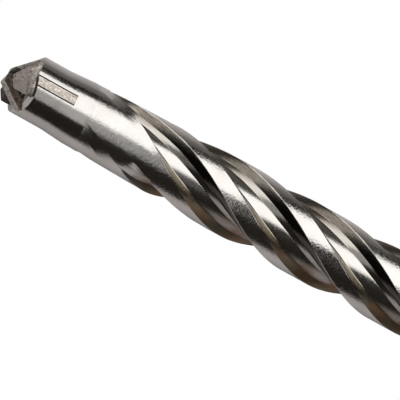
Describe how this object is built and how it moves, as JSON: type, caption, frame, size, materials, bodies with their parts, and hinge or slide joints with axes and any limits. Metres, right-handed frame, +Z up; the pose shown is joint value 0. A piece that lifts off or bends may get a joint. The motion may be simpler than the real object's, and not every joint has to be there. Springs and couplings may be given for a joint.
{
  "type": "masonry drill bit",
  "caption": "Hammer drill bit for masonry with carbide cross point, multi-start right-hand spiral and slotted quick-change shank.",
  "frame": {"origin": "middle of the length, on the plane the bit lies on, below its axis", "axes": "+X along the bit from the carbide point towards the shank's striking face, +Z up"},
  "size_m": [0.16, 0.01, 0.01],
  "materials": {
    "blasted_steel": "fine bead-blasted hardened steel, ground on the neck",
    "carbide": "matt sintered tungsten carbide with ground edges"
  },
  "bodies": {
    "root": {"steel_body": "blasted_steel", "carbide_tip": "carbide"}
  },
  "joints": []
}
